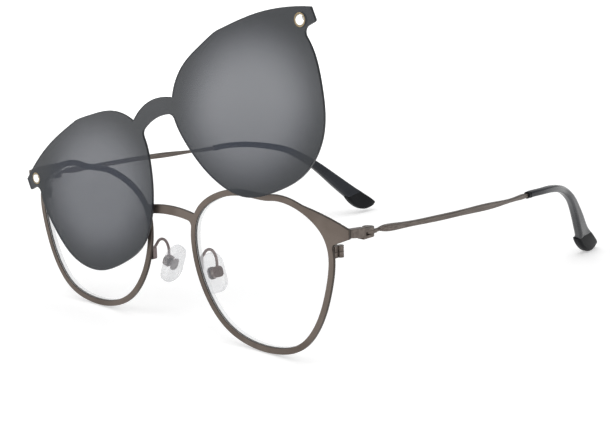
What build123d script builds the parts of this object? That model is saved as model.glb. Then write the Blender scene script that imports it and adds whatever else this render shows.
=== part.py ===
from build123d import *
import os
from math import cos, radians, sin

os.makedirs("parts", exist_ok=True)

# Millimetres. X runs across the face, with +X on the wearer's left. The front faces -Y, the
# temples run back along +Y, and Z is up from the table that the glasses stand on. The origin is
# on the table, midway between the clip's foremost face and the back of the temple feet.

# Lens openings, rims and bridge of the metal front
eye_width = 50.0
eye_height = 41.2
eye_gap = 20.2
rim_width = 1.75
rim_depth = 1.0
edge_round = 0.14
back_round = 0.3
bridge_rise = 13.8
bridge_height = 2.65
bridge_arch = 1.3
bridge_fillet = 1.6
notch_round = 0.25

# Flared ends of the front
front_width = 133.8
end_height = 2.5
end_rise = 16.5
flare_fillet = 1.1
flare_tuck = 0.5
flare_blend = 12.0

# Clear lenses in their grooves
lens_recess = 0.3
lens_thickness = 1.8
lens_clearance = 0.04
groove_front = 0.4
groove_width = 0.4
groove_depth = 0.4

# Magnets, hidden behind the flares and set in the clip
magnet_inset = 3.7
magnet_rise = 14.35
frame_magnet_radius = 1.35
frame_magnet_thickness = 0.6
pocket_clearance = 0.03
clip_magnet_radius = 1.45
clip_magnet_thickness = 0.95
clip_magnet_dome = 0.35
eyelet_wall = 0.33
eyelet_clearance = 0.02

# Clip: one flat tinted sheet, drawn a little off its seat and swung up about its right-hand end
clip_gap = 0.3
clip_float = 0.65
clip_thickness = 0.8
clip_round = 0.12
clip_eye_width = 56.4
clip_eye_height = 45.2
clip_eye_x = 35.5
clip_overhang = 1.0
clip_tab_rise = 14.95
clip_tab_height = 3.85
clip_tab_round = 0.6
clip_tab_fillet = 1.8
clip_magnet_rise = 13.5
clip_bridge_rise = 15.8
clip_bridge_height = 5.2
clip_bridge_arch = 2.9
clip_bridge_fillet = 2.2
clip_swing = 24.86
clip_shift = 2.25
clip_lift = 28.4

# End pieces and their three-knuckle hinges
lug_thickness = 2.0
lug_length = 5.9
lug_end_height = 2.6
lug_fall = 0.75
hinge_radius = 1.55
hinge_setback = 9.5
hinge_height = 2.5
hinge_drop = 1.15
knuckle_gap = 0.08
hinge_screw_radius = 0.6
hinge_screw_head = 0.95
hinge_head_depth = 0.4
hinge_head_proud = 0.1
thread_clearance = 0.02
running_clearance = 0.05
slot_width = 0.25
slot_depth = 0.2

# Temples: leaf and neck, flat bar, collar, sleeve and foot
leaf_length = 1.65
leaf_thickness = 1.5
neck_radius = 0.5
neck_length = 1.8
bar_height = 1.8
bar_thickness = 1.45
bar_length = 67.9
bar_bow = 2.45
bar_drop = 3.15
bar_corner = 0.2
collar_radius = 1.05
collar_length = 1.3
tang_radius = 0.42
tang_length = 9.0
sleeve_width = 5.0
sleeve_thickness = 3.0
sleeve_inset = 16.6
sleeve_run = 68.7
sleeve_corner_share = 0.34
foot_run = 10.9
foot_fall = 5.75
foot_inset = 1.4
temple_reach = 152.3
temple_lift = 0.55

# Rim locks: split barrels behind the rims' outer sides
lock_offset = 1.3
lock_drop = 6.9
lock_radius = 0.85
lock_height = 3.1
lock_slit = 0.15
lock_setback = 2.2
lock_foot_width = 1.3
lock_groove = 0.12
lock_groove_width = 0.25
lock_screw_radius = 0.4
lock_screw_head = 0.6
lock_head_depth = 0.35

# Nose pads: arm, box, screw, pad and its metal core
pad_foot_height = 3.8
pad_foot_width = 1.3
pad_foot_depth = 1.4
pad_foot_x = 9.95
pad_foot_fall = 1.9
arm_radius = 0.42
box_x = 10.4
box_setback = 7.6
box_fall = 5.6
box_width = 3.4
box_height = 3.2
box_depth = 1.5
box_round = 1.2
box_wall = 0.65
box_back_wall = 0.2
pad_screw_radius = 0.35
pad_tilt = 20.0
pad_splay = 6.0
pad_gap = 0.4
pad_length = 11.8
pad_width = 7.8
pad_thickness = 2.2
pad_corner_share = 0.46
pad_crown = 0.9
core_length = 3.6
core_width = 2.8
core_thickness = 0.5
stud_width = 1.7
stud_height = 1.4
stud_reach = 0.35
core_clearance = 0.02

# One named overrun for every cut that runs past a face
overrun = 1.0

# Places that follow from the sizes above
clip_stack = clip_gap + clip_float + clip_magnet_thickness
front_y = -(temple_reach - clip_stack) / 2
eye_x = (eye_gap + eye_width) / 2
eye_z = eye_height / 2 + rim_width
end_x = front_width / 2
end_top_z = eye_z + end_rise
magnet_x = end_x - magnet_inset
magnet_z = eye_z + magnet_rise
lug_back_y = front_y + rim_depth + lug_length
hinge_x = end_x - hinge_radius
hinge_y = front_y + hinge_setback
hinge_z = end_top_z - hinge_drop - hinge_height
knuckle_height = (hinge_height - 2 * knuckle_gap) / 3
neck_z = hinge_z + hinge_height / 2

# Lens outlines, clockwise from their tops, in shares of half the width and half the height. The
# positive side is the one at the temple.
eye_outline_shares = [
    (0.19, 0.99),
    (0.61, 0.92),
    (0.96, 0.57),
    (0.95, 0),
    (0.81, -0.47),
    (0.55, -0.84),
    (0.18, -0.98),
    (-0.18, -0.97),
    (-0.54, -0.81),
    (-0.81, -0.47),
    (-0.97, 0),
    (-0.95, 0.56),
    (-0.59, 0.9),
    (-0.19, 0.99),
]
clip_outline_shares = [
    (0, 1),
    (0.44, 0.94),
    (0.78, 0.78),
    (0.98, 0.42),
    (0.95, -0.18),
    (0.81, -0.6),
    (0.43, -0.95),
    (-0.01, -1),
    (-0.42, -0.9),
    (-0.75, -0.53),
    (-0.95, 0),
    (-0.98, 0.44),
    (-0.69, 0.83),
    (-0.25, 0.97),
]
outline_steps = 36


def layer(depth):
    """Plane parallel to the front, that far behind its face, facing forwards."""
    return Plane(origin=(0, front_y + depth, 0), x_dir=(1, 0, 0), z_dir=(0, -1, 0))


def lens_face(shares, width, height, grow=0):
    """Closed outline about its own centre, moved outwards all round."""
    with BuildSketch() as shape:
        with BuildLine():
            points = [(a * width / 2, b * height / 2) for a, b in shares]
            base = Spline(*points, periodic=True, mode=Mode.PRIVATE)
            steps = [number / outline_steps for number in range(outline_steps)]
            outward = [(base % step).rotate(Axis.Z, 90) * grow for step in steps]
            Spline(*[base @ step + move for step, move in zip(steps, outward)], periodic=True)
        make_face()
    return shape.sketch


def eye_face(grow=0):
    """The lens opening of the front's left side, moved outwards all round."""
    return lens_face(eye_outline_shares, eye_width, eye_height, grow)


def write(piece, label):
    """Label a finished piece and write it as its own file."""
    piece.part.label = label
    export_step(piece.part, f"parts/{label}.step")


def write_pair(piece, label):
    """Write the piece of the wearer's left side and its mirror image for the right side."""
    write(piece, f"{label}_left")
    with BuildPart() as opposite:
        mirror(piece.part, about=Plane.YZ)
    write(opposite, f"{label}_right")


# Metal front: both rims, bridge and flared ends, cut from one sheet
flare_mid_shares = (0.56, 0.29)
flare_foot_shares = (0.965, 0.52)
rim_root_share = 0.6
bridge_reach = eye_gap / 2 + rim_width * rim_root_share
bridge_top = eye_z + bridge_rise
bridge_foot = bridge_top - bridge_height

with BuildSketch(layer(0)) as front_face:
    with Locations((eye_x, eye_z)):
        add(eye_face(rim_width))
    apex = (eye_x, eye_z + eye_height / 2 + rim_width - flare_tuck)
    middle = (
        eye_x + (end_x - eye_x) * flare_mid_shares[0],
        apex[1] - (apex[1] - end_top_z) * flare_mid_shares[1],
    )
    root = (
        eye_x + eye_width / 2 * flare_foot_shares[0],
        eye_z + eye_height / 2 * flare_foot_shares[1],
    )
    with BuildLine():
        ThreePointArc(apex, middle, (end_x, end_top_z))
        Line((end_x, end_top_z), (end_x, end_top_z - end_height))
        Line((end_x, end_top_z - end_height), root)
        Line(root, (eye_x, eye_z))
        Line((eye_x, eye_z), apex)
    make_face()
    corners = [v for v in front_face.vertices() if eye_x + eye_width / 2 < v.X < end_x - end_height]
    fillet([v for v in corners if eye_z < v.Y < end_top_z], radius=flare_fillet)
    corners = [v for v in front_face.vertices() if v.X > eye_x and v.Y > end_top_z + edge_round]
    fillet(corners, radius=flare_blend)
    mirror(about=Plane.YZ)
    with BuildLine():
        top = ThreePointArc(
            (-bridge_reach, bridge_top - bridge_arch), (0, bridge_top), (bridge_reach, bridge_top - bridge_arch)
        )
        low = ThreePointArc(
            (bridge_reach, bridge_foot - bridge_arch), (0, bridge_foot), (-bridge_reach, bridge_foot - bridge_arch)
        )
        Line(top @ 1, low @ 0)
        Line(low @ 1, top @ 0)
    make_face()
    corners = [v for v in front_face.vertices() if abs(v.X) < eye_gap / 2 + rim_width and v.Y > eye_z]
    fillet([v for v in corners if v.Y < bridge_foot], radius=bridge_fillet)
    corners = [v for v in front_face.vertices() if abs(v.X) < eye_gap / 2 + rim_width]
    fillet([v for v in corners if bridge_foot < v.Y < bridge_top], radius=notch_round)

with BuildPart() as front_frame:
    extrude(front_face.sketch, amount=-rim_depth)
    with BuildSketch(layer(-overrun)):
        with Locations((eye_x, eye_z)):
            add(eye_face())
        mirror(about=Plane.YZ)
    extrude(amount=-(rim_depth + 2 * overrun), mode=Mode.SUBTRACT)
    faces = front_frame.faces().sort_by(Axis.Y)
    fillet(faces[0].edges(), radius=edge_round)
    faces = front_frame.faces().sort_by(Axis.Y)
    fillet(faces[-1].outer_wire().edges(), radius=back_round)
    with BuildSketch(layer(groove_front)):
        with Locations((eye_x, eye_z)):
            add(eye_face(groove_depth))
        mirror(about=Plane.YZ)
    extrude(amount=-groove_width, mode=Mode.SUBTRACT)
    with BuildSketch(layer(rim_depth)):
        with Locations((magnet_x, magnet_z), (-magnet_x, magnet_z)):
            Circle(frame_magnet_radius + pocket_clearance)
    extrude(amount=frame_magnet_thickness + pocket_clearance, mode=Mode.SUBTRACT)
write(front_frame, "front_frame")

# Clear lens: a plate with a ridge round its edge that stands in the rim's groove
with BuildPart() as lens:
    with BuildSketch(layer(lens_recess)):
        with Locations((eye_x, eye_z)):
            add(eye_face(-lens_clearance))
    extrude(amount=-lens_thickness)
    with BuildSketch(layer(groove_front + lens_clearance)):
        with Locations((eye_x, eye_z)):
            add(eye_face(groove_depth - lens_clearance))
    extrude(amount=-(groove_width - 2 * lens_clearance))
write_pair(lens, "lens")

# Disc magnet pressed into the back of each flare
with BuildPart() as frame_magnet:
    with BuildSketch(layer(rim_depth)):
        with Locations((magnet_x, magnet_z)):
            Circle(frame_magnet_radius)
    extrude(amount=frame_magnet_thickness)
write_pair(frame_magnet, "frame_magnet")

# End piece: a block brazed behind the flare, with the two outer knuckles of the hinge
with BuildPart() as end_piece:
    with BuildSketch(Plane.YZ.offset(end_x)):
        with BuildLine():
            Polyline(
                (front_y + rim_depth, end_top_z - edge_round),
                (lug_back_y, end_top_z - lug_fall),
                (lug_back_y, end_top_z - lug_fall - lug_end_height),
                (front_y + rim_depth, end_top_z - end_height + edge_round),
                close=True,
            )
        make_face()
    extrude(amount=-lug_thickness)
    long_edges = end_piece.edges().filter_by(lambda e: abs((e % 0).Y) > abs((e % 0).X) + abs((e % 0).Z))
    fillet(long_edges, radius=edge_round)
    for floor in (hinge_z, hinge_z + 2 * (knuckle_height + knuckle_gap)):
        with BuildSketch(Plane.XY.offset(floor)):
            with Locations((hinge_x, hinge_y)):
                Circle(hinge_radius)
            with Locations((end_x - lug_thickness, lug_back_y - overrun)):
                Rectangle(lug_thickness, hinge_y - lug_back_y + overrun, align=(Align.MIN, Align.MIN))
        extrude(amount=knuckle_height)
    with BuildSketch(Plane.XY.offset(hinge_z - overrun)):
        with Locations((hinge_x, hinge_y)):
            Circle(hinge_screw_radius + thread_clearance)
    extrude(amount=hinge_height + 2 * overrun, mode=Mode.SUBTRACT)
    with BuildSketch(Plane.XY.offset(hinge_z + hinge_height - hinge_head_depth)):
        with Locations((hinge_x, hinge_y)):
            Circle(hinge_screw_head + thread_clearance)
    extrude(amount=hinge_head_depth + overrun, mode=Mode.SUBTRACT)
write_pair(end_piece, "end_piece")

# Hinge screw: slotted head sunk in the top knuckle, shank down to the bottom one
with BuildPart() as hinge_screw:
    with BuildSketch(Plane.XY.offset(hinge_z)):
        with Locations((hinge_x, hinge_y)):
            Circle(hinge_screw_radius)
    extrude(amount=hinge_height - hinge_head_depth)
    with BuildSketch(Plane.XY.offset(hinge_z + hinge_height - hinge_head_depth)):
        with Locations((hinge_x, hinge_y)):
            Circle(hinge_screw_head)
    extrude(amount=hinge_head_depth + hinge_head_proud)
    with BuildSketch(Plane.XY.offset(hinge_z + hinge_height + hinge_head_proud)):
        with Locations((hinge_x, hinge_y)):
            Rectangle(2 * hinge_screw_head + overrun, slot_width)
    extrude(amount=-slot_depth, mode=Mode.SUBTRACT)
write_pair(hinge_screw, "hinge_screw")

# Temple leaf: the hinge's middle knuckle, a short leaf and the thin neck that carries the bar
middle_z = hinge_z + knuckle_height + knuckle_gap
leaf_back_y = hinge_y + leaf_length
neck_back_y = leaf_back_y + neck_length

with BuildPart() as temple_leaf:
    with BuildSketch(Plane.XY.offset(middle_z)):
        with Locations((hinge_x, hinge_y)):
            Circle(hinge_radius)
        with Locations((end_x - leaf_thickness, hinge_y)):
            Rectangle(leaf_thickness, leaf_length, align=(Align.MIN, Align.MIN))
    extrude(amount=knuckle_height)
    with BuildSketch(Plane.XZ.offset(-leaf_back_y)):
        with Locations((end_x - leaf_thickness / 2, neck_z)):
            Circle(neck_radius)
    extrude(amount=-neck_length)
    with BuildSketch(Plane.XY.offset(middle_z - overrun)):
        with Locations((hinge_x, hinge_y)):
            Circle(hinge_screw_radius + running_clearance)
    extrude(amount=knuckle_height + 2 * overrun, mode=Mode.SUBTRACT)
write_pair(temple_leaf, "temple_leaf")

# Temple bar: a flat metal strip that bows outwards, narrows and thins along its length. The rows
# give the place along the bar, its bow, its fall, its height and its thickness, all as shares.
bar_station_shares = [
    (0, 0, 0, 0.5, 0.7),
    (0.02, 0.07, 0.02, 0.83, 0.93),
    (0.11, 0.37, 0.12, 0.88, 1),
    (0.28, 0.77, 0.3, 0.79, 0.93),
    (0.47, 0.99, 0.47, 0.82, 0.83),
    (0.64, 0.94, 0.66, 1, 0.79),
    (0.74, 0.84, 0.78, 0.84, 0.83),
    (0.88, 0.58, 0.93, 0.57, 0.79),
    (1, 0.33, 1, 0.52, 0.76),
]
bar_x = end_x - leaf_thickness / 2
bar_end_share = bar_station_shares[-1]
bar_end = Vector(bar_x + bar_bow * bar_end_share[1], neck_back_y + bar_length, neck_z - bar_drop)

# Centre line of the sleeve down to its foot, as shares of its inset, its run and its drop. The
# first direction carries the tang, the collar and the sleeve's mouth.
mouth_turn_shares = (0.053, 0.125, 0.016)
sleeve_line_shares = [
    (0, 0, 0),
    (0.118, 0.246, 0.04),
    (0.25, 0.348, 0.087),
    (0.371, 0.435, 0.144),
    (0.455, 0.523, 0.24),
    (0.57, 0.61, 0.366),
    (0.733, 0.726, 0.577),
    (0.92, 0.843, 0.788),
]
sleeve_drop = bar_end.Z


def sleeve_move(shares):
    """Step along the sleeve, from shares of its inset, its run and its drop."""
    return Vector(-sleeve_inset * shares[0], sleeve_run * shares[1], -sleeve_drop * shares[2])


mouth_turn = sleeve_move(mouth_turn_shares).normalized()
sleeve_start = bar_end + mouth_turn * collar_length


def mouth_plane(out):
    """Plane square to the sleeve's mouth, that far behind the end of the bar."""
    return Plane(origin=bar_end + mouth_turn * out, x_dir=(0, 0, 1), z_dir=mouth_turn)


def write_temple_pair(piece, label):
    """Write the piece of the left temple and its mirror image, which stands a little higher."""
    write(piece, f"{label}_left")
    with BuildPart() as opposite:
        mirror(piece.part, about=Plane.YZ)
    opposite.part = opposite.part.rotate(Axis((0, neck_back_y, neck_z), (1, 0, 0)), temple_lift)
    write(opposite, f"{label}_right")


with BuildPart() as temple_bar:
    for along, bow, fall, tall, thick in bar_station_shares:
        place = (bar_x + bar_bow * bow, neck_back_y + bar_length * along, neck_z - bar_drop * fall)
        turn = mouth_turn if along == 1 else Vector(0, 1, 0)
        with BuildSketch(Plane(origin=place, x_dir=(0, 0, 1), z_dir=turn)):
            RectangleRounded(bar_height * tall, bar_thickness * thick, bar_corner)
    loft()
    with BuildSketch(mouth_plane(0)):
        Circle(tang_radius)
    extrude(amount=collar_length + tang_length)
write_temple_pair(temple_bar, "temple_bar")

# Collar: a short black ring on the tang, between the bar and the sleeve
with BuildPart() as temple_collar:
    with BuildSketch(mouth_plane(0)):
        Circle(collar_radius)
        Circle(tang_radius + thread_clearance, mode=Mode.SUBTRACT)
    extrude(amount=collar_length)
    outside = temple_collar.faces().filter_by(GeomType.CYLINDER).sort_by(SortBy.AREA)[-1]
    fillet(outside.edges().filter_by(GeomType.CIRCLE), radius=edge_round)
write_temple_pair(temple_collar, "temple_collar")

# Sleeve: a bent slab that widens towards the foot. The rows give its width and thickness in
# shares, at even steps from the mouth towards the foot, where the cut is nearly level.
sleeve_size_shares = [
    (0.38, 0.72),
    (0.38, 0.74),
    (0.4, 0.76),
    (0.42, 0.79),
    (0.44, 0.81),
    (0.46, 0.83),
    (0.49, 0.86),
    (0.55, 0.89),
    (0.64, 0.92),
    (0.76, 0.95),
    (0.9, 0.98),
    (1.02, 1),
]
sleeve_line = Spline(*[sleeve_start + sleeve_move(row) for row in sleeve_line_shares], mode=Mode.PRIVATE)


def sleeve_section(place, ahead, tall, deep):
    """Rounded section of the slab, square to its line."""
    side = Vector(1, 0, 0) - ahead * (ahead.X / ahead.dot(ahead))
    with BuildSketch(Plane(origin=place, x_dir=side, z_dir=ahead)) as section:
        RectangleRounded(deep, tall, min(deep, tall) * sleeve_corner_share)
    return section.sketch


# Foot: the slab's rounded end, bent back along the table. The rows give the place along it, its
# fall, the lean of its section in right angles, its width and its thickness.
foot_station_shares = [
    (0, 0, 0.077, 1.67, 1),
    (0.28, 0.49, 0.245, 1.6, 1.03),
    (0.57, 0.81, 0.427, 1.28, 1),
    (0.845, 0.97, 0.427, 0.84, 0.82),
    (1, 1, 0.43, 0.44, 0.5),
]


def foot_section(along, fall, lean, wide, thick):
    """Section of the foot at one of its stations."""
    place = sleeve_line @ 1 + Vector(-foot_inset * along, foot_run * along, -foot_fall * fall)
    ahead = Vector(0, sin(radians(90 * lean)), -cos(radians(90 * lean)))
    return sleeve_section(place, ahead, sleeve_width * wide, sleeve_thickness * thick)


last_step = len(sleeve_size_shares)
sections = []
for step, (wide, thick) in enumerate(sleeve_size_shares):
    place = sleeve_line @ (step / last_step)
    ahead = sleeve_line % (step / last_step) if step else mouth_turn
    sections.append(sleeve_section(place, ahead, sleeve_width * wide, sleeve_thickness * thick))
sections.append(foot_section(*foot_station_shares[0]))

with BuildPart() as temple_sleeve:
    loft(sections)
    with BuildSketch(mouth_plane(collar_length)):
        Circle(tang_radius + thread_clearance)
    extrude(amount=tang_length + thread_clearance, mode=Mode.SUBTRACT)
write_temple_pair(temple_sleeve, "temple_sleeve")

with BuildPart() as temple_foot:
    loft([foot_section(*row) for row in foot_station_shares])
write_temple_pair(temple_foot, "temple_foot")

# Rim lock: two half barrels, each with its foot brazed to the rim, and the screw through both
lock_x = eye_x + eye_width / 2 + lock_offset
lock_y = front_y + rim_depth + lock_setback
lock_z = end_top_z - lock_drop
half_height = (lock_height - lock_slit) / 2
groove_shares = (0.3, 0.7)

lock_halves = []
for floor in (lock_z - lock_height / 2, lock_z + lock_slit / 2):
    with BuildPart() as lock_half:
        with BuildSketch(Plane.XY.offset(floor)):
            with Locations((lock_x, lock_y)):
                Circle(lock_radius)
            with Locations((lock_x, front_y + rim_depth)):
                Rectangle(lock_foot_width, lock_setback, align=(Align.MAX, Align.MIN))
        extrude(amount=half_height)
        for share in groove_shares:
            with BuildSketch(Plane.XY.offset(floor + half_height * share - lock_groove_width / 2)):
                with Locations((lock_x, lock_y)):
                    Circle(lock_radius + overrun)
                    Circle(lock_radius - lock_groove, mode=Mode.SUBTRACT)
                with Locations((lock_x, front_y + rim_depth)):
                    Rectangle(
                        2 * lock_foot_width,
                        lock_setback,
                        align=(Align.CENTER, Align.MIN),
                        mode=Mode.SUBTRACT,
                    )
            extrude(amount=lock_groove_width, mode=Mode.SUBTRACT)
        with BuildSketch(Plane.XY.offset(floor - overrun)):
            with Locations((lock_x, lock_y)):
                Circle(lock_screw_radius + thread_clearance)
        extrude(amount=half_height + 2 * overrun, mode=Mode.SUBTRACT)
        if floor > lock_z:
            with BuildSketch(Plane.XY.offset(lock_z + lock_height / 2 - lock_head_depth)):
                with Locations((lock_x, lock_y)):
                    Circle(lock_screw_head + thread_clearance)
            extrude(amount=lock_head_depth + overrun, mode=Mode.SUBTRACT)
    lock_halves.append(lock_half)
write_pair(lock_halves[0], "rim_lock_lower")
write_pair(lock_halves[1], "rim_lock_upper")

with BuildPart() as rim_lock_screw:
    with BuildSketch(Plane.XY.offset(lock_z - lock_height / 2)):
        with Locations((lock_x, lock_y)):
            Circle(lock_screw_radius)
    extrude(amount=lock_height - lock_head_depth)
    with BuildSketch(Plane.XY.offset(lock_z + lock_height / 2 - lock_head_depth)):
        with Locations((lock_x, lock_y)):
            Circle(lock_screw_head)
    extrude(amount=lock_head_depth)
    with BuildSketch(Plane.XY.offset(lock_z + lock_height / 2)):
        with Locations((lock_x, lock_y)):
            Rectangle(2 * lock_screw_head + overrun, slot_width)
    extrude(amount=-slot_depth, mode=Mode.SUBTRACT)
write_pair(rim_lock_screw, "rim_lock_screw")

# Nose pads. The pad's plane holds its length and its front-to-back width, and its normal faces
# the nose: downwards and inwards from the box that carries it.
box_z = eye_z - box_fall
box_centre = Vector(box_x, front_y + box_setback, box_z)
nose_turn = Vector(-cos(radians(pad_splay)), sin(radians(pad_splay)), 0)
nose_normal = nose_turn * cos(radians(pad_tilt)) - Vector(0, 0, 1) * sin(radians(pad_tilt))
pad_down = -nose_turn * sin(radians(pad_tilt)) - Vector(0, 0, 1) * cos(radians(pad_tilt))
pad_across = pad_down.cross(nose_normal).normalized()


def pad_plane(out):
    """Plane square to the pad, that far from the box's middle towards the nose."""
    return Plane(origin=box_centre + nose_normal * out, x_dir=pad_across, z_dir=nose_normal)


# Pad arm: a flat foot brazed behind the rim, a bent wire back, and a stem down to the box
arm_bend_shares = [(0, 0, 0), (0.15, 0.2, 0.35), (0.3, 0.45, 1), (0.45, 0.7, 0.9), (0.55, 0.92, 0.2)]
foot_z = eye_z - pad_foot_fall
arm_start = Vector(pad_foot_x, front_y + rim_depth + pad_foot_depth / 2, foot_z + pad_foot_height / 2 - arm_radius)
arm_rise = pad_foot_height / 2
arm_run = box_setback - rim_depth - pad_foot_depth / 2
stem_top = box_centre + Vector(0, 0, box_height / 2 - arm_radius)

with BuildPart() as pad_arm:
    with BuildSketch(layer(rim_depth)):
        with Locations((pad_foot_x, foot_z)):
            RectangleRounded(pad_foot_width, pad_foot_height, box_round / 2)
    extrude(amount=-pad_foot_depth)
    with BuildLine() as wire:
        points = [
            arm_start + Vector((box_x - pad_foot_x) * a, arm_run * b, arm_rise * c) for a, b, c in arm_bend_shares
        ]
        Spline(*points, stem_top)
    with BuildSketch(Plane(origin=wire.line @ 0, z_dir=wire.line % 0)):
        Circle(arm_radius)
    sweep(path=wire.line)
    with BuildSketch(pad_plane(-box_depth / 2)):
        Rectangle(box_width + overrun, box_height)
    extrude(amount=box_depth, mode=Mode.SUBTRACT)
write_pair(pad_arm, "pad_arm")

# Pad box: a small open case brazed to the arm, that takes the pad's stud
with BuildPart() as pad_box:
    with BuildSketch(pad_plane(-box_depth / 2)):
        RectangleRounded(box_width, box_height, box_round)
    extrude(amount=box_depth)
    with BuildSketch(pad_plane(-box_depth / 2 + box_back_wall)):
        Rectangle(box_width - 2 * box_wall, box_height - 2 * box_wall)
    extrude(amount=box_depth, mode=Mode.SUBTRACT)
    with BuildSketch(Plane(origin=box_centre - pad_across * box_width, x_dir=pad_down, z_dir=pad_across)):
        Circle(pad_screw_radius + thread_clearance)
    extrude(amount=2 * box_width, mode=Mode.SUBTRACT)
write_pair(pad_box, "pad_box")

with BuildPart() as pad_screw:
    with BuildSketch(Plane(origin=box_centre - pad_across * box_width / 2, x_dir=pad_down, z_dir=pad_across)):
        Circle(pad_screw_radius)
    extrude(amount=box_width)
write_pair(pad_screw, "pad_screw")

# Pad core: a metal plate cast into the pad, with the stud that turns on the screw
core_face = box_depth / 2 + pad_gap + pad_thickness / 2

with BuildPart() as pad_core:
    with BuildSketch(pad_plane(core_face)):
        RectangleRounded(core_width, core_length, box_round)
    extrude(amount=core_thickness)
    with BuildSketch(pad_plane(-stud_reach)):
        RectangleRounded(stud_width, stud_height, box_round / 2)
    extrude(amount=core_face + stud_reach)
    with BuildSketch(Plane(origin=box_centre - pad_across * box_width, x_dir=pad_down, z_dir=pad_across)):
        Circle(pad_screw_radius + running_clearance)
    extrude(amount=2 * box_width, mode=Mode.SUBTRACT)
write_pair(pad_core, "pad_core")

# Nose pad: a clear soft slab with round ends, flat behind and crowned towards the nose
with BuildPart() as nose_pad:
    with BuildSketch(pad_plane(box_depth / 2 + pad_gap)):
        RectangleRounded(pad_width, pad_length, pad_width * pad_corner_share)
    extrude(amount=pad_thickness)
    fillet(nose_pad.faces().sort_by(Axis(origin=box_centre, direction=nose_normal))[-1].edges(), radius=pad_crown)
    with BuildSketch(pad_plane(core_face - core_clearance)):
        RectangleRounded(core_width + 2 * core_clearance, core_length + 2 * core_clearance, box_round)
    extrude(amount=core_thickness + 2 * core_clearance, mode=Mode.SUBTRACT)
    with BuildSketch(pad_plane(0)):
        RectangleRounded(stud_width + 2 * core_clearance, stud_height + 2 * core_clearance, box_round / 2)
    extrude(amount=core_face, mode=Mode.SUBTRACT)
write_pair(nose_pad, "nose_pad")

# Clip. Its own plane turns with it. On that plane x runs across the clip from its middle, and y
# up from the middle of its lenses.
turn_x = cos(radians(clip_swing))
turn_z = sin(radians(clip_swing))
clip_origin = Vector(clip_shift, front_y - clip_float, magnet_z - clip_magnet_rise + clip_lift)


def clip_layer(out):
    """Plane of the clip, that far in front of where the metal front's face meets it when seated."""
    return Plane(origin=clip_origin - Vector(0, out, 0), x_dir=(turn_x, 0, turn_z), z_dir=(0, -1, 0))


clip_mid_shares = (0.567, 0.28)
bridge_root_share = 0.9
clip_end_x = end_x + clip_overhang
clip_top = clip_eye_height / 2
clip_reach = clip_eye_x - clip_eye_width / 2 * bridge_root_share
clip_bridge_foot = clip_bridge_rise - clip_bridge_height

with BuildSketch(clip_layer(clip_gap)) as clip_face:
    with Locations((clip_eye_x, 0)):
        add(lens_face(clip_outline_shares, clip_eye_width, clip_eye_height))
    apex = (clip_eye_x, clip_top - flare_tuck)
    middle = (
        clip_eye_x + (clip_end_x - clip_eye_x) * clip_mid_shares[0],
        apex[1] - (apex[1] - clip_tab_rise) * clip_mid_shares[1],
    )
    with BuildLine():
        ThreePointArc(apex, middle, (clip_end_x, clip_tab_rise))
        Line((clip_end_x, clip_tab_rise), (clip_end_x, clip_tab_rise - clip_tab_height))
        Line((clip_end_x, clip_tab_rise - clip_tab_height), (clip_eye_x, clip_tab_rise - clip_tab_height))
        Line((clip_eye_x, clip_tab_rise - clip_tab_height), apex)
    make_face()
    corners = [v for v in clip_face.vertices() if clip_eye_x < v.X < clip_end_x - clip_tab_round]
    fillet([v for v in corners if 0 < v.Y < clip_tab_rise], radius=clip_tab_fillet)
    corners = [v for v in clip_face.vertices() if v.X > clip_end_x - clip_tab_round]
    fillet([v for v in corners if v.Y < clip_tab_rise - clip_tab_height / 2], radius=clip_tab_round)
    corners = [v for v in clip_face.vertices() if v.X > clip_eye_x]
    fillet([v for v in corners if clip_tab_rise + edge_round < v.Y < clip_top - edge_round], radius=flare_blend)
    mirror(about=Plane.YZ)
    with BuildLine():
        top = ThreePointArc(
            (-clip_reach, clip_bridge_rise - clip_bridge_arch),
            (0, clip_bridge_rise),
            (clip_reach, clip_bridge_rise - clip_bridge_arch),
        )
        low = ThreePointArc(
            (clip_reach, clip_bridge_foot - clip_bridge_arch),
            (0, clip_bridge_foot),
            (-clip_reach, clip_bridge_foot - clip_bridge_arch),
        )
        Line(top @ 1, low @ 0)
        Line(low @ 1, top @ 0)
    make_face()
    corners = [v for v in clip_face.vertices() if abs(v.X) < clip_eye_x / 2]
    fillet([v for v in corners if 0 < v.Y < clip_bridge_foot], radius=clip_bridge_fillet)
    corners = [v for v in clip_face.vertices() if abs(v.X) < clip_eye_x / 2]
    fillet([v for v in corners if clip_bridge_foot < v.Y < clip_bridge_rise], radius=notch_round)

eyelet_radius = clip_magnet_radius + eyelet_clearance + eyelet_wall

with BuildPart() as clip_lens:
    extrude(clip_face.sketch, amount=clip_thickness)
    fillet(clip_lens.faces().sort_by(Axis.Y)[0].edges(), radius=clip_round)
    fillet(clip_lens.faces().sort_by(Axis.Y)[-1].edges(), radius=clip_round)
    with BuildSketch(clip_layer(clip_gap - overrun)):
        with Locations((magnet_x, clip_magnet_rise), (-magnet_x, clip_magnet_rise)):
            Circle(eyelet_radius + running_clearance)
    extrude(amount=clip_thickness + 2 * overrun, mode=Mode.SUBTRACT)
write(clip_lens, "clip_lens")

# Magnets of the clip: domed nickel discs, each in a thin gilt eyelet
for side, sign in (("left", 1), ("right", -1)):
    with BuildPart() as clip_magnet:
        with BuildSketch(clip_layer(clip_gap)):
            with Locations((sign * magnet_x, clip_magnet_rise)):
                Circle(clip_magnet_radius)
        extrude(amount=clip_magnet_thickness)
        fillet(clip_magnet.faces().sort_by(Axis.Y)[0].edges(), radius=clip_magnet_dome)
    write(clip_magnet, f"clip_magnet_{side}")
    with BuildPart() as clip_eyelet:
        with BuildSketch(clip_layer(clip_gap)):
            with Locations((sign * magnet_x, clip_magnet_rise)):
                Circle(eyelet_radius)
                Circle(clip_magnet_radius + eyelet_clearance, mode=Mode.SUBTRACT)
        extrude(amount=clip_thickness)
    write(clip_eyelet, f"clip_eyelet_{side}")
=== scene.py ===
import bpy
from mathutils import Matrix, Vector


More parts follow.
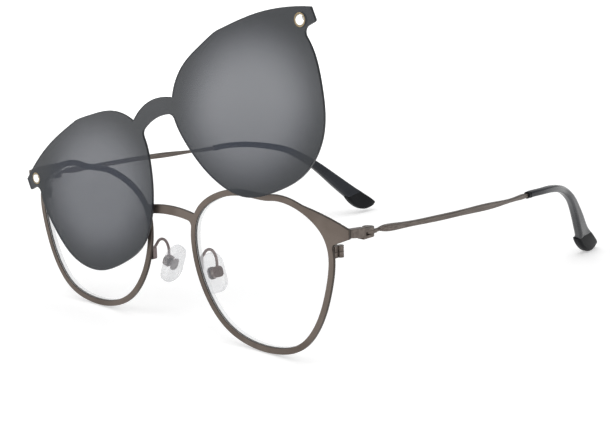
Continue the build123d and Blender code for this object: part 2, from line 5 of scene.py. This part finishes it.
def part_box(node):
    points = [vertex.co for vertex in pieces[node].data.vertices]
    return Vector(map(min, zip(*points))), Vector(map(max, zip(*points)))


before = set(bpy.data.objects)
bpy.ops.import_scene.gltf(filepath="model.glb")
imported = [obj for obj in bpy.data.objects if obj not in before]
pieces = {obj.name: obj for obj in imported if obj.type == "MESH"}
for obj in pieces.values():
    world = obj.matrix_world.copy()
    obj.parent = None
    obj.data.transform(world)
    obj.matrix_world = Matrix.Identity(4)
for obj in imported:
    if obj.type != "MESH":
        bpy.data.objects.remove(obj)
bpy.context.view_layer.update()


# Camera: a long lens a little above the glasses, turned to the wearer's left and rolled by a
# degree and a half. Its distance is counted from the face of the metal front.
camera_side = 0.265098
camera_distance = 0.230202
camera_height = 0.114113
view_back = Vector((0.66063, -0.71477, 0.22951)).normalized()
view_right = Vector((0.73838, 0.67384, -0.02658))
view_right = (view_right - view_back * view_right.dot(view_back)).normalized()
view_up = view_back.cross(view_right)
front_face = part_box("front_frame")[0][1]
bpy.ops.object.camera_add(location=(camera_side, front_face - camera_distance, camera_height))
camera = bpy.context.object
camera.rotation_euler = Matrix((view_right, view_up, view_back)).transposed().to_euler()
camera.data.lens = 74.29
camera.data.sensor_width = 36
camera.data.clip_start = 0.01
bpy.context.scene.camera = camera
bpy.context.scene.view_settings.view_transform = "Standard"


# Table: a wide white top on which the glasses stand. It glows white to the lens, in mirrors and
# through the lenses, less where the lamps already light it, and keeps the soft shadows.
class Wire:
    """One output in a finish, so that its patterns can be written as sums and products."""

    def __init__(self, finish, socket):
        self.finish = finish
        self.socket = socket

    def sum_with(self, how, other, turned=False):
        first, second = (other, self) if turned else (self, other)
        return self.finish.node("ShaderNodeMath", {"operation": how}, {0: first, 1: second})

    def __add__(self, other):
        return self.sum_with("ADD", other)

    def __radd__(self, other):
        return self.sum_with("ADD", other)

    def __sub__(self, other):
        return self.sum_with("SUBTRACT", other)

    def __rsub__(self, other):
        return self.sum_with("SUBTRACT", other, turned=True)

    def __mul__(self, other):
        return self.sum_with("MULTIPLY", other)

    def __rmul__(self, other):
        return self.sum_with("MULTIPLY", other)

    def __truediv__(self, other):
        return self.sum_with("DIVIDE", other)

    def __pow__(self, other):
        return self.sum_with("POWER", other)

    def __abs__(self):
        return self.sum_with("ABSOLUTE", 0.0)


class Finish:
    """A surface's finish, or the room's light, with its shader, to which patterns are wired."""

    def __init__(self, name, shader="ShaderNodeBsdfPrincipled", room=False, **look):
        self.owner = bpy.data.worlds.new(name) if room else bpy.data.materials.new(name)
        self.owner.use_nodes = True
        self.tree = self.owner.node_tree
        self.tree.nodes.clear()
        self.end = self.tree.nodes.new(f"ShaderNodeOutput{'World' if room else 'Material'}")
        self.shader = self.tree.nodes.new(shader)
        self.whole = Wire(self, self.shader.outputs[0])
        self.set("Surface", self.whole, self.end)
        for socket, value in look.items():
            self.set(socket.replace("_", " ").title().replace("Ior", "IOR"), value)

    def set(self, socket, value, node=None):
        target = (node or self.shader).inputs[socket]
        if isinstance(value, Wire):
            self.tree.links.new(value.socket, target)
        else:
            target.default_value = value

    def node(self, kind, settings=None, inputs=None, out=0):
        """A node with its settings made first, then the values or wires of its sockets."""
        made = self.tree.nodes.new(kind)
        for name, value in (settings or {}).items():
            setattr(made, name, value)
        for socket, value in (inputs or {}).items():
            self.set(socket, value, made)
        return Wire(self, made.outputs[out])

    def place(self):
        return self.node("ShaderNodeTexCoord", out="Object")

    def rays(self, kind):
        """1 for the rays of this kind and 0 for all others."""
        return self.node("ShaderNodeLightPath", out=f"Is {kind} Ray")

    def dot(self, vector, direction):
        sockets = {0: vector, 1: direction}
        return self.node("ShaderNodeVectorMath", {"operation": "DOT_PRODUCT"}, sockets, out="Value")

    def facing(self):
        """1 where the surface looks straight ahead or back, and 0 where it lies edge on."""
        return abs(self.dot(self.node("ShaderNodeNewGeometry", out="Normal"), (0, 1, 0)))

    def grain(self, *spots, detail=2.0):
        """Noise with this many spots per metre, the same for all axes or given for each."""
        stretch = spots if len(spots) == 3 else spots * 3
        spread = self.node("ShaderNodeMapping", inputs={"Vector": self.place(), "Scale": stretch})
        sockets = {"Vector": spread, "Scale": 1.0, "Detail": detail}
        return self.node("ShaderNodeTexNoise", inputs=sockets)

    def ramp(self, wire, low, high, dark=0.0, light=1.0):
        """The wire's range from low to high, spread smoothly over dark to light."""
        return self.node(
            "ShaderNodeMapRange",
            {"interpolation_type": "SMOOTHSTEP"},
            {"Value": wire, "From Min": low, "From Max": high, "To Min": dark, "To Max": light},
        )

    def larger(self, first, second):
        return self.node("ShaderNodeMath", {"operation": "MAXIMUM"}, {0: first, 1: second})

    def mixed(self, share, first, second):
        """The first colour where the share is 0, turning into the second where it is 1."""
        ends = [(*end, 1) if isinstance(end, tuple) else end for end in (first, second)]
        sockets = {0: share, 6: ends[0], 7: ends[1]}
        return self.node("ShaderNodeMix", {"data_type": "RGBA"}, sockets, out=2)

    def rough(self, least, added, wire):
        """Roughness from the least, where the wire is 0, to as much more as is added at 1."""
        self.set("Roughness", least + wire * added)

    def relief(self, height, depth, strength=0.3):
        sockets = {"Height": height, "Distance": depth, "Strength": strength}
        self.set("Normal", self.node("ShaderNodeBump", inputs=sockets))

    def paint(self, *names):
        for name in names:
            slots = pieces[name].data.materials
            slots.clear()
            slots.append(self.owner)

    def paint_pairs(self, *names):
        for name in names:
            self.paint(f"{name}_left", f"{name}_right")


table_width = 12
near_glow = 0.39
far_glow = 1.0
near_reach = 0.1
far_reach = 0.5
bpy.ops.object.select_all(action="DESELECT")
bpy.ops.mesh.primitive_plane_add(size=table_width, location=(0, 0, 0))
table = bpy.context.object
table.name = "table_top"
table_white = Finish("table_white", "ShaderNodeBsdfDiffuse", color=(0.8, 0.8, 0.8, 1))
seen = table_white.rays("Camera") + table_white.rays("Glossy") + table_white.rays("Transmission")
where = table_white.place()
away = table_white.node("ShaderNodeVectorMath", {"operation": "LENGTH"}, {0: where}, out="Value")
glow = seen * table_white.ramp(away, near_reach, far_reach, near_glow, far_glow)
glowing = table_white.node("ShaderNodeEmission", inputs={"Strength": glow})
both = table_white.node("ShaderNodeAddShader", inputs={0: table_white.whole, 1: glowing})
table_white.set("Surface", both, table_white.end)
table.data.materials.append(table_white.owner)


# Room and lamps: even white walls, brighter to the lens than on the glasses, with a broad soft
# lamp overhead, a weaker one in front and a faint one at the wearer's left.
wall_light = 0.5
white_room = Finish("white_room", "ShaderNodeBackground", room=True, color=(1, 1, 1, 1))
in_view = white_room.larger(white_room.rays("Camera"), white_room.rays("Transmission"))
white_room.set("Strength", wall_light + in_view * (1 - wall_light))
bpy.context.scene.world = white_room.owner
for name, stand, aim, width, power in (
    ("overhead_softbox", (0.05, -0.05, 0.75), (0, 0, 0), 0.7, 2.2),
    ("front_softbox", (-0.35, -0.75, 0.45), (0, 0, 0.03), 0.5, 1.3),
    ("side_softbox", (0.75, -0.35, 0.5), (0, 0, 0.03), 0.45, 0.6),
):
    bpy.ops.object.light_add(type="AREA", location=stand)
    lamp = bpy.context.object
    lamp.name = name
    lamp.data.size = width
    lamp.data.energy = power
    lamp.rotation_euler = (Vector(stand) - Vector(aim)).to_track_quat("Z", "Y").to_euler()


# Metal front: rims, bridge and flares cut from one steel sheet, blasted satin and plated a warm
# gunmetal brown. The sheet's cut edges are smoother and carry painted shade, a darker brown.
face_dark = (0.13, 0.104, 0.087)
face_pale = (0.175, 0.143, 0.122)
edge_shade_brown = (0.06, 0.048, 0.041)
cloud_spots = 90
blast_spots = 2600
blast_depth = 0.00003
face_rough = 0.36
blast_rough = 0.18
cut_smoother = 0.08
sheet = Finish("gunmetal_front", metallic=0.75, ior=1.5)
fine = sheet.grain(blast_spots)
cloudy = sheet.ramp(sheet.grain(cloud_spots), low=0.35, high=0.65)
# Painted shade: the sheet's edge-on walls are coloured a darker brown, and are also made smoother.
shaded_edge = 1 - sheet.ramp(sheet.facing(), low=0.45, high=0.95)
sheet.set("Base Color", sheet.mixed(shaded_edge, sheet.mixed(cloudy, face_dark, face_pale), edge_shade_brown))
sheet.set("Roughness", face_rough + fine * blast_rough - shaded_edge * cut_smoother)
sheet.relief(fine, blast_depth, strength=0.35)
sheet.paint("front_frame")


# End pieces, rim locks and hinge leaves: small milled steel parts, brazed to the front and to
# the temples before plating, in the same gunmetal brown.
milled_dark = (0.115, 0.094, 0.081)
milled_pale = (0.17, 0.142, 0.124)
milled_spots = 900
gunmetal = Finish("gunmetal_brown", metallic=0.75, ior=1.5)
blast = gunmetal.grain(blast_spots)
tone = gunmetal.ramp(gunmetal.grain(milled_spots), low=0.35, high=0.65)
gunmetal.set("Base Color", gunmetal.mixed(tone, milled_dark, milled_pale))
gunmetal.rough(least=0.3, added=blast_rough, wire=blast)
gunmetal.relief(blast, blast_depth)
gunmetal.paint_pairs("end_piece", "temple_leaf", "rim_lock_upper", "rim_lock_lower")


# Temple bars: flat strips of the same plated steel between the hinge leaves and the sleeves.
# They are drawn to their section, so the grain runs along them.
streak_dark = (0.1, 0.083, 0.073)
streak_pale = (0.19, 0.162, 0.143)
streaks_across = 5200
streaks_along = 60
drawn = Finish("drawn_bar", metallic=0.75, ior=1.5)
streaks = drawn.grain(streaks_across, streaks_along, streaks_across)
lines = drawn.ramp(streaks, low=0.3, high=0.7)
drawn.set("Base Color", drawn.mixed(lines, streak_dark, streak_pale))
drawn.rough(least=0.3, added=0.2, wire=streaks)
drawn.relief(streaks, depth=0.00002)
drawn.paint_pairs("temple_bar")


# Hinge, rim lock and pad screws: small screws turned from steel bar, which hold the temples, the
# lenses and the nose pads. They are left brighter than the plating.
turned_dark = (0.26, 0.235, 0.215)
turned_pale = (0.36, 0.335, 0.31)
rings_across = 6000
rings_along = 600
screw_steel = Finish("screw_steel", metallic=1.0)
rings = screw_steel.grain(rings_across, rings_across, rings_along, detail=1.0)
screw_steel.set("Base Color", screw_steel.mixed(rings, turned_dark, turned_pale))
screw_steel.rough(least=0.24, added=0.16, wire=rings)
screw_steel.paint_pairs("hinge_screw", "rim_lock_screw", "pad_screw")


# Clear lenses: flat demo lenses of cast acrylic, polished on both faces and frosted round the
# edge, where the rim's groove holds them.
polished_alpha = 0.025
frosted_alpha = 0.5
haze_alpha = 0.015
polished_rough = 0.03
frosted_rough = 0.3
haze_spots = 40
edge_turn = 0.3
face_turn = 0.9
clear = Finish("clear_lens", base_color=(0.93, 0.95, 0.96, 1), ior=1.49)
polished = clear.facing()
body = clear.ramp(polished, edge_turn, face_turn, frosted_alpha, polished_alpha)
haze = clear.grain(haze_spots, detail=1.0)
clear.set("Alpha", body + haze * haze_alpha)
clear.set("Roughness", clear.ramp(polished, edge_turn, face_turn, frosted_rough, polished_rough))
clear.paint_pairs("lens")


# Clip: one sheet of grey tinted plastic with polished faces. The tint is palest in the middle of
# each lens and deepest towards the outline, and the cut edges are nearly black.
pale_grey = (0.032, 0.043, 0.072)
deep_grey = (0.02, 0.025, 0.032)
edge_black = (0.022, 0.024, 0.028)
pale_alpha = 0.64
deep_alpha = 0.86
pale_offset = 0.0355
pale_drop = 0.0129
tint_half_width = 0.0284
tint_half_height = 0.0226
tint = Finish("grey_tint", ior=1.52, specular_ior_level=0.3)
low_end = sum((Vector(corner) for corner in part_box("clip_magnet_right")), Vector()) / 2
high_end = sum((Vector(corner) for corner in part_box("clip_magnet_left")), Vector()) / 2
lengthwise = (high_end - low_end).normalized()
upright = Vector((-lengthwise.z, 0, lengthwise.x))
middle = (low_end + high_end) / 2 - upright * pale_drop
spot = tint.place()
along = tint.dot(spot, lengthwise) - middle.dot(lengthwise)
above = tint.dot(spot, upright) - middle.dot(upright)
reach = ((abs(along) - pale_offset) / tint_half_width) ** 2 + (above / tint_half_height) ** 2
deep = tint.ramp(reach, low=0.1, high=1.1)
edge_on = 1 - tint.ramp(tint.facing(), low=0.6, high=0.98)
tint.set("Base Color", tint.mixed(edge_on, tint.mixed(deep, pale_grey, deep_grey), edge_black))
tint.set("Alpha", tint.larger(pale_alpha + deep * (deep_alpha - pale_alpha), edge_on))
tint.rough(least=0.05, added=0.25, wire=edge_on)
tint.paint("clip_lens")


# Magnets: small discs of nickel-plated rare-earth magnet. The clip's two stand in thin gilt
# eyelets, and the front's two are sunk behind its flared ends.
nickel_dark = (0.8, 0.79, 0.76)
nickel_pale = (0.94, 0.93, 0.9)
swirl_spots = 2200
nickel = Finish("nickel_plate", metallic=1.0)
swirl = nickel.grain(swirl_spots)
nickel.set("Base Color", nickel.mixed(swirl, nickel_dark, nickel_pale))
nickel.rough(least=0.14, added=0.12, wire=swirl)
nickel.paint_pairs("clip_magnet", "frame_magnet")
gilt_dark = (0.2, 0.15, 0.085)
gilt_pale = (0.42, 0.33, 0.2)
worn_spots = 3000
gilt = Finish("gilt_eyelet", metallic=1.0)
worn = gilt.grain(worn_spots)
gilt.set("Base Color", gilt.mixed(worn, gilt_dark, gilt_pale))
gilt.rough(least=0.2, added=0.15, wire=worn)
gilt.paint_pairs("clip_eyelet")


# Temple sleeves: thin slabs of blue-black acetate over the bars' tangs, tumbled to a soft
# polish that greys in even light.
acetate_dark = (0.014, 0.0155, 0.0195)
acetate_pale = (0.024, 0.027, 0.034)
drift_across = 60
drift_along = 25
acetate = Finish("black_acetate", ior=1.49, specular_ior_level=0.32)
drift = acetate.grain(drift_across, drift_along, drift_across)
veins = acetate.ramp(drift, low=0.35, high=0.65)
acetate.set("Base Color", acetate.mixed(veins, acetate_dark, acetate_pale))
acetate.rough(least=0.22, added=0.1, wire=drift)
acetate.relief(drift, depth=0.00015)
acetate.paint_pairs("temple_sleeve")


# Collars and feet: moulded black rubber parts at the two ends of each sleeve, the collar round
# the bar and the foot as the sleeve's separate tip. They are duller than the acetate.
rubber_dark = (0.006, 0.0065, 0.0075)
rubber_pale = (0.014, 0.015, 0.017)
dust_spots = 1500
rubber = Finish("black_rubber", ior=1.48, specular_ior_level=0.1)
dust = rubber.grain(dust_spots, detail=3.0)
rubber.set("Base Color", rubber.mixed(dust, rubber_dark, rubber_pale))
rubber.rough(least=0.32, added=0.2, wire=dust)
rubber.relief(dust, depth=0.00004)
rubber.paint_pairs("temple_collar", "temple_foot")


# Nose pads: clear soft silicone ovals cast round a small metal plate, on bent wire arms with an
# open box at the end. The metal is plated like the front.
middle_alpha = 0.1
cloud_alpha = 0.06
rim_alpha = 0.45
milky_spots = 350
silicone = Finish("clear_silicone", base_color=(0.8, 0.81, 0.84, 1), ior=1.42)
cloud = silicone.grain(milky_spots)
rim = silicone.node("ShaderNodeLayerWeight", inputs={"Blend": 0.35}, out="Facing")
silicone.set("Alpha", middle_alpha + cloud * cloud_alpha + rim * rim_alpha)
silicone.rough(least=0.22, added=0.14, wire=cloud)
silicone.paint_pairs("nose_pad")
pad_metal_dark = (0.16, 0.128, 0.125)
pad_metal_pale = (0.3, 0.25, 0.245)
tumble_spots = 1800
pad_metal = Finish("pad_metal", metallic=0.9)
tumble = pad_metal.grain(tumble_spots)
pad_metal.set("Base Color", pad_metal.mixed(tumble, pad_metal_dark, pad_metal_pale))
pad_metal.rough(least=0.28, added=0.18, wire=tumble)
pad_metal.paint_pairs("pad_arm", "pad_box", "pad_core")
